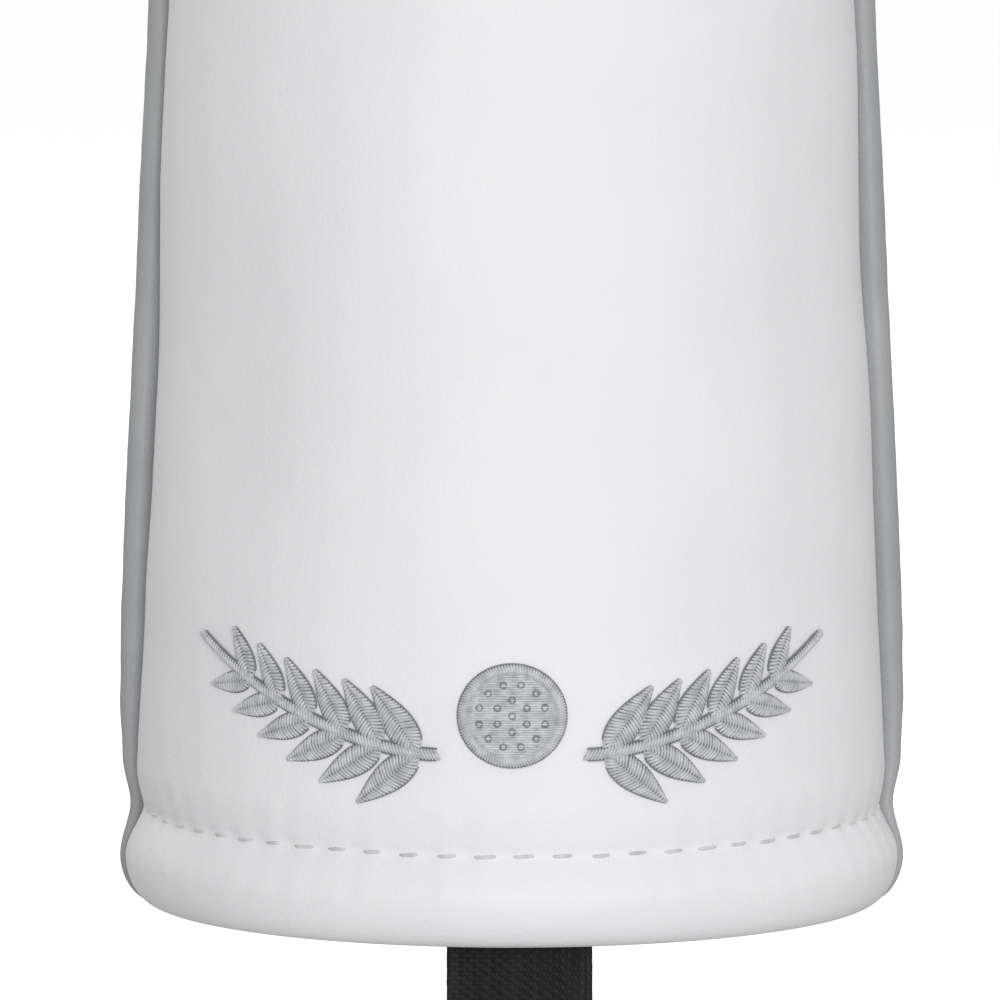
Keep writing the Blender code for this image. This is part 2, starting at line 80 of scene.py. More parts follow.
# ---- Leather panels ----------------------------------------------------------------------------------
# Two shaped panels of white synthetic leather with a very fine grain, bonded to foam. Each is sewn to the
# piping along its edge, turns under at the mouth and up the inside, and is lockstitched round the hem. A net
# of each panel is stuffed as cloth first, and its swelling is laid on the fine panel.
SLEEVE_SHAPE = (
    (0.006, 0.0530, 0.0474),
    (0.0126, 0.0508, 0.0456),
    (0.020, 0.0513, 0.0461),
    (0.040, 0.0502, 0.0454),
    (0.068, 0.0488, 0.0444),
    (0.096, 0.0475, 0.0432),
    (0.150, 0.0463, 0.0420),
    (0.185, 0.0492, 0.0440),
    (0.215, 0.0542, 0.0474),
    (0.250, 0.0585, 0.0505),
)
CROWN_BASE, CROWN_HALF_WIDTH, CROWN_HALF_DEPTH = SLEEVE_SHAPE[-1]
CROWN_RISE = 0.068
CROWN_FULLNESS = 2.3
HEM_STITCH, HEM_STITCH_RISE = 0.0124, 0.0009
STITCH_ANGLE = math.pi / 31
STITCH_OFFSET = 0.3
SEAM_HALF = 0.0008
SEAM_ROLL, SEAM_ROLL_AT_HEM = 0.0026, 0.0009
SEAM_FLANGE = (0.0016, 0.0034)
PANEL_COLUMNS = 172
NECK_GATHER = 0.151


def sleeve_size(height):
    """Half the width and half the depth of the sleeve at a height, on a curve that is level at both ends."""
    rows = SLEEVE_SHAPE
    if height <= rows[0][0]:
        return rows[0][1:]
    if height >= rows[-1][0]:
        return rows[-1][1:]
    low = max(i for i in range(len(rows) - 1) if rows[i][0] <= height)
    span = rows[low + 1][0] - rows[low][0]
    t = (height - rows[low][0]) / span
    sizes = []
    for column in (1, 2):
        slopes = []
        for i in (low, low + 1):
            if i in (0, len(rows) - 1):
                slopes.append(0.0)
            else:
                rise = rows[i + 1][column] - rows[i - 1][column]
                slopes.append(rise / (rows[i + 1][0] - rows[i - 1][0]))
        sizes.append(
            rows[low][column] * (1 + 2 * t) * (1 - t) ** 2
            + slopes[0] * span * t * (1 - t) ** 2
            + rows[low + 1][column] * t * t * (3 - 2 * t)
            - slopes[1] * span * t * t * (1 - t)
        )
    return sizes


def sleeve_point(angle, height, depth):
    """A point of the front at an angle from its middle, a height, and a depth below the leather's face."""
    wide, deep = sleeve_size(height)
    return Vector(((wide - depth) * math.sin(angle), -(deep - depth) * math.cos(angle), height))


def crown_point(angle, share, depth):
    """The same above the widest place: share is 0 there and 1 on the seam over the crown."""
    across = math.sin(angle)
    side = across * math.sqrt(1 - share * share / 2)
    up = share * math.sqrt(1 - across * across / 2)
    reach = math.sqrt(1 - (SEAM_HALF / CROWN_HALF_DEPTH) ** 2)
    length = math.hypot(side, up)
    if length > reach:
        side, up = side * reach / length, up * reach / length
    lift = (1 - (1 - up * up) ** (CROWN_FULLNESS / 2)) ** (1 / CROWN_FULLNESS)
    out = math.sqrt(max(0.0, 1 - side * side - up * up))
    x = (CROWN_HALF_WIDTH - depth) * side
    return Vector((x, -(CROWN_HALF_DEPTH - depth) * out, CROWN_BASE + (CROWN_RISE - depth) * lift))


def bell(value, middle, width):
    return math.exp(-(((value - middle) / width) ** 2))


def step_up(value, low, high):
    t = max(0.0, min(1.0, (value - low) / (high - low)))
    return t * t * (3 - 2 * t)


def stitch_height(angle):
    """The hem's stitching climbs a little towards the side seams."""
    return HEM_STITCH + HEM_STITCH_RISE * math.sin(angle) ** 2


def leather_relief(point, angle, back):
    """How far the face stands out of the plain shape: hem stitching, soft waves, and gathers at the neck."""
    height = point.z
    stitch = angle / STITCH_ANGLE - STITCH_OFFSET
    hole = math.cos(2 * math.pi * (stitch - 0.5))
    line = stitch_height(angle)
    uneven = 0.5 + noise.noise(Vector((angle * 9, 7.0 if back else 3.0, 0)))
    relief = -0.00046 * bell(height, line, 0.0011) * (0.72 + 0.28 * hole)
    relief += 0.00022 * bell(height, line + 0.0040, 0.0026) * (1 - 0.32 * hole * uneven)
    relief += 0.00027 * bell(height, line - 0.0042, 0.0026) * (1 - 0.32 * hole * uneven)
    place = Vector((point.x, point.y + (0.4 if back else 0.0), height))
    wave = noise.noise(place * 24) * 0.0009 + noise.noise(place * 62) * 0.00022
    quiet = step_up(height, 0.010, 0.030) * (1 - 0.75 * bell(height, 0.033, 0.016) * (not back))
    relief += wave * quiet
    if not back:
        relief -= 0.0009 * bell(angle, -0.88, 0.26) * bell(height, 0.078, 0.022)
        relief -= 0.0007 * bell(angle, 0.96, 0.22) * bell(height, 0.092, 0.020)
    relief += 0.00005 * noise.noise(place * 330) * step_up(height, 0.001, 0.006)
    if back:
        bend = 2.6 * noise.noise(Vector((angle * 2.4, height * 14, 2.0)))
        reach = 0.027 + 0.010 * noise.noise(Vector((angle * 5, 4.0, 1.0)))
        fold = math.sin(angle * 20 + bend)
        relief += 0.0010 * bell(height, NECK_GATHER, reach) * (fold - 0.35) * max(0.0, math.cos(angle)) ** 0.6
    return relief


def seam_angles():
    """Angles of the panel's columns, close together beside the seams."""
    near = [math.asin(y / 0.045) for y in (0.0008, 0.0010, 0.0013, 0.0017, 0.0022, 0.0028, 0.0035, 0.0044)]
    start = math.pi / 2 - math.asin(0.0055 / 0.045)
    middle = [-start + 2 * start * i / (PANEL_COLUMNS - 1) for i in range(PANEL_COLUMNS)]
    left = [a - math.pi / 2 for a in near]
    return left + middle + [-a for a in reversed(left)]


def hem_line():
    """Heights and depths of the hem, from its raw edge inside, down, under the rim and up to the roll."""
    line = [(0.0156, 0.0064), (0.0157, 0.0072), (0.0140, 0.0074), (0.0120, 0.0075), (0.0090, 0.0078)]
    line += [(0.0060, 0.0081), (0.0040, 0.0082)]
    for step in range(9):
        turn = math.radians(90 * step / 8)
        line.append((0.0020 * (1 - math.sin(turn)), 0.0062 + 0.0020 * math.cos(turn)))
    line += [(0.0, 0.0055), (0.0, 0.0048)]
    for step in range(15):
        turn = math.radians(90 - 90 * step / 14)
        line.append((0.006 * (1 - math.sin(turn)), 0.0042 * (1 - math.cos(turn))))
    return line


def panel_levels():
    """Rows of the panel as a kind, a place and a depth."""
    levels = [("sleeve", height, depth) for height, depth in hem_line()]
    height = 0.006
    while height < CROWN_BASE - 0.001:
        height += 0.00045 if height < 0.019 else min(0.0022, 0.00045 + (height - 0.019) * 0.2)
        levels.append(("sleeve", min(height, CROWN_BASE), 0.0))
    for step in range(1, 41):
        levels.append(("crown", math.cos(math.radians(90 - 88.9 * step / 40)), 0.0))
    return levels


def grid_piece(name, columns, rows, place):
    """Adds a grid and moves each of its points to its place."""
    bpy.ops.object.select_all(action="DESELECT")
    bpy.ops.mesh.primitive_grid_add(x_subdivisions=columns - 1, y_subdivisions=rows - 1, size=2)
    piece = bpy.context.object
    piece.name = name
    piece.data.name = name
    for vert in piece.data.vertices:
        column = round((vert.co.x + 1) / 2 * (columns - 1))
        row = round((vert.co.y + 1) / 2 * (rows - 1))
        vert.co = place(column, row)
    bpy.ops.object.shade_smooth()
    return piece


def turned(point, back):
    return Vector((-point.x, -point.y, point.z)) if back else point


NET_HEM_ROWS = (0.0035, 0.0060, 0.0085, 0.0107, 0.0128, 0.0149, 0.0175, 0.0210)
NET_STITCH_ROW = NET_HEM_ROWS[4]
NET_ROW_STEP = 0.0050
NET_CROWN_ROWS = 16
NET_COLUMNS = 41
NET_REACH = math.radians(87)
SEWN_BELOW, SEWN_BESIDE_SEAM = 0.0040, 0.0030
EMBROIDERED_HALF_WIDTH, EMBROIDERED_LOW, EMBROIDERED_HIGH = 0.040, 0.020, 0.044
STUFFING_FRAMES, STUFFING_PRESSURE, STUFFING_LIMIT = 16, 120.0, 0.0010


def net_levels():
    """Rows of the net that is stuffed: close together at the hem, then even up to the crown seam."""
    heights = list(NET_HEM_ROWS)
    while heights[-1] < CROWN_BASE - 0.8 * NET_ROW_STEP:
        heights.append(heights[-1] + NET_ROW_STEP)
    shares = [math.sin(NET_REACH * step / (NET_CROWN_ROWS - 1)) for step in range(NET_CROWN_ROWS)]
    return [("sleeve", height) for height in heights] + [("crown", share) for share in shares]


NET_LEVELS = net_levels()


def is_sewn(point, back):
    """Whether a knot of the net is held: at the mouth, the hem's stitching, the embroidery or a seam."""
    embroidered = not back and abs(point.x) < EMBROIDERED_HALF_WIDTH
    embroidered = embroidered and EMBROIDERED_LOW < point.z < EMBROIDERED_HIGH
    stitched = abs(point.z - NET_STITCH_ROW) < 0.0003
    return point.z < SEWN_BELOW or stitched or embroidered or abs(point.y) < SEWN_BESIDE_SEAM


def stuffed_net(back):
    """Cloth under the foam's pressure, held where the panel is sewn. Returns how far each knot moves out."""
    knots = []

    def place(i, j):
        kind, where = NET_LEVELS[j]
        angle = NET_REACH * (2 * i / (NET_COLUMNS - 1) - 1)
        knots.append((i, j))
        return turned((sleeve_point if kind == "sleeve" else crown_point)(angle, where, 0.0), back)

    net = grid_piece("stuffing_net", NET_COLUMNS, len(NET_LEVELS), place)
    rest = [vert.co.copy() for vert in net.data.vertices]
    sewn = [index for index, point in enumerate(rest) if is_sewn(point, back)]
    net.vertex_groups.new(name="sewn").add(sewn, 1.0, "REPLACE")
    cloth = net.modifiers.new("stuffing", "CLOTH")
    cloth.settings.vertex_group_mass = "sewn"
    cloth.settings.use_pressure = True
    cloth.settings.uniform_pressure_force = STUFFING_PRESSURE
    cloth.settings.effector_weights.gravity = 0
    cloth.collision_settings.use_collision = False
    for step in range(1, STUFFING_FRAMES + 1):
        bpy.context.scene.frame_set(step)
    bpy.ops.object.modifier_apply(modifier=cloth.name)
    bpy.context.scene.frame_set(1)
    pushed = [[0.0] * NET_COLUMNS for _ in NET_LEVELS]
    for (i, j), vert, start in zip(knots, net.data.vertices, rest):
        move = (vert.co - start).length
        pushed[j][i] = move / (1 + move / STUFFING_LIMIT)
    bpy.data.objects.remove(net)
    return pushed


def through(a, b, c, d, t):
    """A smooth curve through b and c, with a and d beyond them."""
    return b + 0.5 * t * (c - a + t * (2 * a - 5 * b + 4 * c - d + t * (3 * (b - c) + d - a)))


def net_push(pushed, kind, where, angle):
    """The push between the net's knots."""
    column = (angle / NET_REACH + 1) / 2 * (NET_COLUMNS - 1)
    column = max(0.0, min(NET_COLUMNS - 1.001, column))
    same = [j for j, level in enumerate(NET_LEVELS) if level[0] == kind]
    below = [j for j in same if NET_LEVELS[j][1] <= where]
    low = min(below[-1] if below else same[0], same[-1] - 1)
    first, last = NET_LEVELS[low][1], NET_LEVELS[low + 1][1]
    up = max(0.0, min(1.0, (where - first) / (last - first)))
    i, t = int(column), column % 1

    def along(j):
        row = pushed[max(0, min(len(pushed) - 1, j))]
        knots = [row[max(0, min(NET_COLUMNS - 1, i + k))] for k in (-1, 0, 1, 2)]
        return through(*knots, t)

    return max(0.0, through(*(along(low + k) for k in (-1, 0, 1, 2)), up))


def leather_panel(name, back):
    """A panel with its edges turned in to the seam, its hem turned up inside, its swelling and gathers."""
    angles = seam_angles()
    levels = panel_levels()
    flange = SEAM_FLANGE
    columns, rows = len(angles) + 2 * len(flange), len(levels) + len(flange)
    pushed = stuffed_net(back)

    def place(i, j):
        column = min(max(i - len(flange), 0), len(angles) - 1)
        past = max(len(flange) - i, i - (len(flange) + len(angles) - 1), j - (len(levels) - 1), 0)
        kind, where, depth = levels[min(j, len(levels) - 1)]
        angle = angles[column]
        point_at = sleeve_point if kind == "sleeve" else crown_point
        plain = point_at(angle, where, depth)
        share = step_up(plain.z, 0.010, 0.036) ** 0.6
        roll = SEAM_ROLL_AT_HEM + (SEAM_ROLL - SEAM_ROLL_AT_HEM) * share
        near = 1 - (abs(plain.y) - SEAM_HALF) / roll
        tuck = roll * (1 - math.sqrt(1 - min(1.0, near) ** 2)) if near > 0 else 0.0
        if past:
            tuck += flange[past - 1] * (0.4 + 0.6 * share)
        if depth > 0.004:
            return turned(plain if not past else point_at(angle, where, depth + tuck * 0.2), back)
        out = leather_relief(plain, angle, back)
        if pushed:
            out += net_push(pushed, kind, where, angle)
        return turned(point_at(angle, where, depth + tuck - out), back)

    return grid_piece(name, columns, rows, place)


def new_finish(name, colour, roughness):
    """A material with its shader and the object's own coordinates."""
    finish = bpy.data.materials.new(name)
    finish.use_nodes = True
    nodes, links = finish.node_tree.nodes, finish.node_tree.links
    shader = nodes["Principled BSDF"]
    shader.inputs["Base Color"].default_value = (*colour, 1)
    shader.inputs["Roughness"].default_value = roughness
    place = nodes.new("ShaderNodeTexCoord").outputs["Object"]
    return finish, nodes, links, shader, place


def noise_node(nodes, links, place, scale, detail=3.0, roughness=0.55):
    made = nodes.new("ShaderNodeTexNoise")
    made.inputs["Scale"].default_value = scale
    made.inputs["Detail"].default_value = detail
    made.inputs["Roughness"].default_value = roughness
    links.new(place, made.inputs["Vector"])
    return made.outputs["Fac"]


def cells_node(nodes, links, place, scale, feature="F1"):
    made = nodes.new("ShaderNodeTexVoronoi")
    made.feature = feature
    made.inputs["Scale"].default_value = scale
    links.new(place, made.inputs["Vector"])
    return made.outputs["Distance"]


def ramp_node(nodes, links, value, stops):
    """Blends between colours: each stop is a position and a colour."""
    made = nodes.new("ShaderNodeValToRGB")
    ramp = made.color_ramp
    while len(ramp.elements) < len(stops):
        ramp.elements.new(0.5)
    for element, (position, colour) in zip(ramp.elements, stops):
        element.position = position
        element.color = (*colour, 1)
    links.new(value, made.inputs["Fac"])
    return made.outputs["Color"]


def math_node(nodes, links, operation, first, second):
    made = nodes.new("ShaderNodeMath")
    made.operation = operation
    for socket, value in zip(made.inputs, (first, second)):
        if isinstance(value, (int, float)):
            socket.default_value = value
        else:
            links.new(value, socket)
    return made.outputs["Value"]


def bump_node(nodes, links, height, shader, strength, distance):
    made = nodes.new("ShaderNodeBump")
    made.inputs["Strength"].default_value = strength
    made.inputs["Distance"].default_value = distance
    links.new(height, made.inputs["Height"])
    links.new(made.outputs["Normal"], shader.inputs["Normal"])


def leather_finish(name, light, dark, roughness, grain):
    """Grained synthetic leather: small rounded cells, a finer tooth and slow changes of tone."""
    finish, nodes, links, shader, place = new_finish(name, light, roughness)
    tone = noise_node(nodes, links, place, 34, 4)
    links.new(ramp_node(nodes, links, tone, ((0.30, dark), (0.66, light))), shader.inputs["Base Color"])
    cells = cells_node(nodes, links, place, grain, "SMOOTH_F1")
    tooth = noise_node(nodes, links, place, grain * 1.9, 2)
    height = math_node(nodes, links, "ADD", math_node(nodes, links, "MULTIPLY", cells, 0.8), tooth)
    bump_node(nodes, links, height, shader, 0.26, 0.00018)
    rough = noise_node(nodes, links, place, 190, 3)
    spread = math_node(nodes, links, "MULTIPLY", rough, 0.16)
    links.new(math_node(nodes, links, "ADD", spread, roughness - 0.08), shader.inputs["Roughness"])
    shader.inputs["Specular IOR Level"].default_value = 0.34
    return finish


white_leather = leather_finish("white_leather", (0.80, 0.80, 0.815), (0.765, 0.765, 0.78), 0.56, 1500)
for side, back in (("front", False), ("back", True)):
    panel = leather_panel(f"leather_{side}", back)
    panel.data.materials.append(white_leather)
    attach(panel, "cover")
    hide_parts(f"{side}_panel")

# ---- Piping ------------------------------------------------------------------------------------------
# A strip of grey synthetic leather folded round a cotton cord, sewn into the seam that runs up one side,
# over the crown and down the other. The hem's stitching crushes it flat near the mouth.
PIPING_SHAPE = (
    (0.000, 0.0005, 0.0002),
    (0.006, 0.0006, 0.0003),
    (0.0128, 0.0009, 0.0008),
    (0.020, 0.0013, 0.0009),
    (0.029, 0.0017, 0.0012),
    (0.040, 0.0020, 0.0014),
    (0.056, 0.0020, 0.0015),
    (0.090, 0.0020, 0.0014),
    (0.124, 0.0018, 0.0011),
    (0.160, 0.0019, 0.0012),
    (0.220, 0.0019, 0.0013),
    (0.320, 0.0019, 0.0013),
)
PIPING_SIDES = 14
PIPING_TAIL = 0.00042
PIPING_TAIL_DEPTH = 0.0016


def piping_size(height):
    """The piping's radius, and how far its middle stands out of the seam."""
    rows = PIPING_SHAPE
    low = max(i for i in range(len(rows) - 1) if rows[i][0] <= max(height, 0.0))
    share = step_up(height, rows[low][0], rows[low + 1][0])
    return [rows[low][k] + (rows[low + 1][k] - rows[low][k]) * share for k in (1, 2)]


def seam_line():
    """Points along the seam from the left of the mouth to the right, each with its way out of the sleeve."""
    line = [sleeve_point(-math.pi / 2, height, depth) for height, depth in hem_line()[7:]]
    height = 0.006
    while height < CROWN_BASE:
        height += 0.0009 if height < 0.020 else 0.0018
        line.append(sleeve_point(-math.pi / 2, min(height, CROWN_BASE), 0.0))
    left = list(line)
    for step in range(1, 100):
        turn = math.pi * step / 100
        up = math.sin(turn)
        lift = (1 - (1 - up * up) ** (CROWN_FULLNESS / 2)) ** (1 / CROWN_FULLNESS)
        line.append(Vector((-CROWN_HALF_WIDTH * math.cos(turn), 0, CROWN_BASE + CROWN_RISE * lift)))
    line += [Vector((-point.x, 0, point.z)) for point in reversed(left)]
    found = []
    for i, point in enumerate(line):
        along = line[min(i + 1, len(line) - 1)] - line[max(i - 1, 0)]
        found.append((Vector((point.x, 0, point.z)), Vector((-along.z, 0, along.x)).normalized()))
    return found


def piping_ring(point, out, angle):
    """One point of the piping's outline: the round over the cord, and its tail between the panels."""
    radius, proud = piping_size(point.z)
    radius *= 1 + 0.035 * noise.noise(point * 210) + 0.02 * noise.noise(point * 600)
    if math.cos(angle) < -0.8:
        side = math.copysign(1, math.sin(angle)) if abs(math.sin(angle)) > 0.1 else 0
        return point - out * (PIPING_TAIL_DEPTH + radius) + Vector((0, PIPING_TAIL * side, 0))
    centre = point + out * proud
    return centre + out * radius * math.cos(angle) + Vector((0, radius * math.sin(angle), 0))


def close_piece(piece):
    """Joins a grid that was rolled into a tube, fills its ends and turns its faces outwards."""
    bpy.ops.object.mode_set(mode="EDIT")
    bpy.ops.mesh.select_all(action="SELECT")
    bpy.ops.mesh.remove_doubles(threshold=0.000002)
    bpy.ops.mesh.fill_holes(sides=0)
    bpy.ops.mesh.select_all(action="SELECT")
    bpy.ops.mesh.normals_make_consistent(inside=False)
    bpy.ops.object.mode_set(mode="OBJECT")
    return piece


seam = seam_line()
piping = grid_piece(
    "piping",
    PIPING_SIDES + 1,
    len(seam),
    lambda i, j: piping_ring(*seam[j], 2 * math.pi * (i % PIPING_SIDES) / PIPING_SIDES),
)
close_piece(piping)
piping.data.materials.append(
    leather_finish("piping_leather", (0.37, 0.375, 0.38), (0.31, 0.315, 0.325), 0.46, 1700)
)
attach(piping, "cover")
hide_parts("piping_cover")

# ---- Hem stitching -----------------------------------------------------------------------------------
# Lockstitch in pale polyester thread, in a shallow groove that it pulls into the padded hem. Each stitch
# dives into the leather at both ends.
STITCH_SHARE = 0.64
THREAD_RADIUS = 0.00031
STITCH_PROUD, STITCH_DIVE = -0.00026, 0.00070


def threads(name, runs, radius, finish, sides=1):
    """Round threads, one along each run of points, as one mesh. A run's ends taper where they dive in."""
    bpy.ops.object.select_all(action="DESELECT")
    bpy.ops.curve.primitive_bezier_curve_add()
    made = bpy.context.object
    made.name = name
    made.data.splines.clear()
    for run, taper in runs:
        spline = made.data.splines.new("POLY")
        spline.points.add(len(run) - 1)
        for i, point in enumerate(run):
            spline.points[i].co = (*point, 1)
            at_end = min(i, len(run) - 1 - i)
            spline.points[i].radius = taper if at_end == 0 else 1.0
    made.data.dimensions = "3D"
    made.data.bevel_depth = radius
    made.data.bevel_resolution = sides
    made.data.use_fill_caps = True
    bpy.ops.object.convert(target="MESH")
    bpy.ops.object.shade_smooth()
    made.data.name = name
    made.data.materials.clear()
    made.data.materials.append(finish)
    return made


def thread_finish(name, light, dark, roughness, twist):
    """Twisted thread: fine slanting plies, with a soft sheen."""
    finish, nodes, links, shader, place = new_finish(name, light, roughness)
    tone = noise_node(nodes, links, place, 700, 3)
    links.new(ramp_node(nodes, links, tone, ((0.32, dark), (0.62, light))), shader.inputs["Base Color"])
    bump_node(nodes, links, noise_node(nodes, links, place, twist, 2), shader, 0.35, 0.00008)
    shader.inputs["Sheen Weight"].default_value = 0.25
    return finish


hem_thread = thread_finish("hem_thread", (0.63, 0.63, 0.64), (0.49, 0.49, 0.50), 0.5, 4200)
draw = random.Random(7)
for side, back in (("front", False), ("back", True)):
    runs = []
    for k in range(-15, 16):
        middle = (k + STITCH_OFFSET) * STITCH_ANGLE
        half = STITCH_ANGLE * STITCH_SHARE / 2 * draw.uniform(0.82, 1.08)
        if abs(middle) + half > math.radians(86.5):
            continue
        height = stitch_height(middle) + draw.uniform(-0.00012, 0.00012)
        run = []
        for step in range(9):
            share = step / 4 - 1
            lift = STITCH_PROUD - STITCH_DIVE * abs(share) ** 4
            angle = middle + half * share
            run.append(turned(sleeve_point(angle, height + 0.00008 * share, -lift), back))
        runs.append((run, 0.75))
    stitches = threads(f"hem_stitches_{side}", runs, THREAD_RADIUS, hem_thread, 2)
    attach(stitches, "cover")
    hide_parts(f"hem_thread_{side}")

# ---- Embroidery --------------------------------------------------------------------------------------
# Two sprigs of leaves with a dimpled ball between them, in silver-grey rayon satin stitch. The stitches
# of a leaf slant from its edge to its vein and lie over a padded underlay. A thin dark thread round each
# shape is painted shade, standing for the shadow at the edges of the raised satin.
MOTIF_HEIGHT = 0.0312
LEAF_PAIRS = 6
LEAF_LENGTH = 0.0108
LEAF_STITCHES = 25
SATIN_RADIUS = 0.00022
# Size and lift of the dark thread round each shape, which is painted shade at the edges of the satin.
EDGE_RADIUS, EDGE_LIFT = 0.00016, 0.00016
STEM_HALF = 0.00062
STEM_STITCHES = 88
BALL_RADIUS = 0.0066
BALL_RIM = 0.0009
BALL_ROWS, BALL_RIM_STITCHES = 36, 112
DIMPLE_RADIUS, DIMPLE_LIFT, DIMPLE_THREAD = 0.00040, 0.00054, 0.00013


def on_front(across, height, lift):
    """A point of the front at an arc length from its middle and a height, lifted off the leather."""
    wide, deep = sleeve_size(height)
    return sleeve_point(across / ((wide + deep) / 2), height, -lift)


def motif_point(flat, lift):
    return on_front(flat.x, MOTIF_HEIGHT + flat.y, lift)


def sprig_stem(share):
    return Vector((0.0100 + 0.0310 * share, -0.0052 + 0.0112 * max(0.0, share) ** 1.6))


def leaf_half_width(t):
    """Half the width of a leaf along its length, as a share of the length."""
    return 0.20 * math.sin(math.pi * min(1.0, t) ** 0.8) ** 0.85 * (1 - 0.25 * t)


def satin_run(start, end, crown, base):
    """A stitch between two flat points, which rises over the underlay and dives in at its ends."""
    run = []
    for step in range(5):
        share = step / 4
        run.append((start.lerp(end, share), base + crown * math.sin(math.pi * (0.12 + 0.76 * share))))
    return run


def leaves():
    """The sprig's leaves in pairs, each as its root on the stem, its length, its way and its way across."""
    found = []
    for pair in range(LEAF_PAIRS):
        share = (pair + 0.35) / (LEAF_PAIRS + 0.4)
        ahead = sprig_stem(share + 0.05) - sprig_stem(share)
        direction = math.atan2(ahead.y, ahead.x)
        for side in (-1, 1):
            heading = direction + side * math.radians(48 - 14 * share)
            along = Vector((math.cos(heading), math.sin(heading)))
            length = LEAF_LENGTH * (1 - 0.36 * share)
            found.append((sprig_stem(share), length, along, Vector((-along.y, along.x))))
    return found


def stem_place(step, steps, half):
    """A place on the stem, its way and its way across, and half its width from a width at the root."""
    share = -0.02 + 1.16 * step / (steps - 1)
    ahead = (sprig_stem(share + 0.02) - sprig_stem(share)).normalized()
    wide = half * (1 - 0.55 * max(0.0, share - 0.5))
    return sprig_stem(share), ahead, Vector((-ahead.y, ahead.x)), wide


def sprig_runs(mirror):
    """All the stitches of one sprig."""
    runs = []
    for root, length, along, over in leaves():
        for half in (-1, 1):
            count = round(LEAF_STITCHES * length / LEAF_LENGTH)
            for step in range(count):
                t = 0.04 + 0.95 * step / (count - 1)
                vein = root + along * length * t
                reach = max(0.0, t - 0.13 + 0.10 * t)
                edge = root + (along * reach + over * half * leaf_half_width(reach)) * length
                edge += along * draw.uniform(-0.00008, 0.00008)
                runs.append(satin_run(edge, vein, 0.00042, 0.00012))
    for step in range(STEM_STITCHES):
        middle, ahead, over, wide = stem_place(step, STEM_STITCHES, STEM_HALF)
        slant = over * wide + ahead * 0.0004
        runs.append(satin_run(middle - slant, middle + slant, 0.0005, 0.0003))
    return mirrored(runs) if mirror else runs


def mirrored(runs):
    return [[(Vector((-flat.x, flat.y)), lift) for flat, lift in run] for run in runs]


def shade_edge_runs(mirror):
    """Painted shade: a dark thread along both edges of each leaf and of the stem, where the satin dives in.
    """
    runs = []
    for root, length, along, over in leaves():
        for half in (-1, 1):
            run = []
            for step in range(21):
                t = 0.12 + 0.88 * step / 20
                wide = leaf_half_width(t) * length + 0.00006
                run.append((root + along * length * t + over * half * wide, EDGE_LIFT))
            runs.append(run)
    for half in (-1, 1):
        run = []
        for step in range(41):
            middle, _, over, wide = stem_place(step, 41, STEM_HALF + EDGE_RADIUS)
            run.append((middle + over * half * wide, 0.00030))
        runs.append(run)
    return mirrored(runs) if mirror else runs


def ball_runs():
    """A filled round with a rim of radial stitches."""
    runs = []
    inner = BALL_RADIUS - BALL_RIM
    for step in range(BALL_ROWS):
        height = -inner + 2 * inner * (step + 0.5) / BALL_ROWS
        wide = math.sqrt(inner * inner - height * height)
        left = -wide
        while left < wide - 0.0002:
            length = 0.0012 * (1 + step % 3) if left == -wide else 0.0036
            right = wide if left + length > wide - 0.0008 else left + length
            runs.append(satin_run(Vector((left, height)), Vector((right, height)), 0.00020, 0.00024))
            left = right
    for step in range(BALL_RIM_STITCHES):
        turn = 2 * math.pi * step / BALL_RIM_STITCHES
        out = Vector((math.cos(turn), math.sin(turn)))
        slant = Vector((-out.y, out.x)) * 0.0002
        start, end = out * (inner - 0.0003) - slant, out * (BALL_RADIUS + 0.0001) + slant
        runs.append(satin_run(start, end, 0.0005, 0.0002))
    return runs


def ring_run(middle, radius, steps, lift):
    """A thread laid in a ring."""
    run = []
    for step in range(steps + 1):
        turn = 2 * math.pi * step / steps
        run.append((middle + Vector((math.cos(turn), math.sin(turn))) * radius, lift))
    return run


def lay_on_leather(runs):
    return [([motif_point(flat, lift) for flat, lift in run], 0.7) for run in runs]


silver = thread_finish("silver_thread", (0.56, 0.57, 0.60), (0.40, 0.41, 0.435), 0.38, 5200)
silver.node_tree.nodes["Principled BSDF"].inputs["Specular IOR Level"].default_value = 0.65
# Dark thread for the ball's dimples, also used as painted shade round the edges of the leaves, stem and ball.
dark_silver_and_edge_shade = thread_finish("dark_silver_thread_and_edge_shade", (0.21, 0.215, 0.225), (0.14, 0.145, 0.15), 0.45, 5200)
for side, mirror in (("right", False), ("left", True)):
    sprig = threads(f"embroidered_sprig_{side}", lay_on_leather(sprig_runs(mirror)), SATIN_RADIUS, silver)
    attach(sprig, "cover")
    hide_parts(f"embroidery_{side}")
    # Dark threads along the edges of the leaves and stem: painted shade where the raised satin meets the
    # leather.
    edges = threads(f"sprig_edges_{side}", lay_on_leather(shade_edge_runs(mirror)), EDGE_RADIUS, dark_silver_and_edge_shade)
    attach(edges, "cover")
ball = threads("embroidered_ball", lay_on_leather(ball_runs()), SATIN_RADIUS, silver)
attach(ball, "cover")
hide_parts("embroidery_ball")

dimple_and_shade_rings = []
for ring, count in ((0.0, 1), (0.0021, 6), (0.0042, 12)):
    for k in range(count):
        turn = 2 * math.pi * (k + 0.5) / count
        middle = Vector((ring * math.cos(turn), ring * math.sin(turn)))
        dimple_and_shade_rings.append(ring_run(middle, DIMPLE_RADIUS, 12, DIMPLE_LIFT))
# A dark ring round the ball: painted shade at its edge. The small rings above are the ball's dimples.
dimple_and_shade_rings.append(ring_run(Vector((0, 0)), BALL_RADIUS + 0.00022, 96, EDGE_LIFT))
rings = threads("ball_dimples_and_shade_ring", lay_on_leather(dimple_and_shade_rings), DIMPLE_THREAD, dark_silver_and_edge_shade)
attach(rings, "cover")

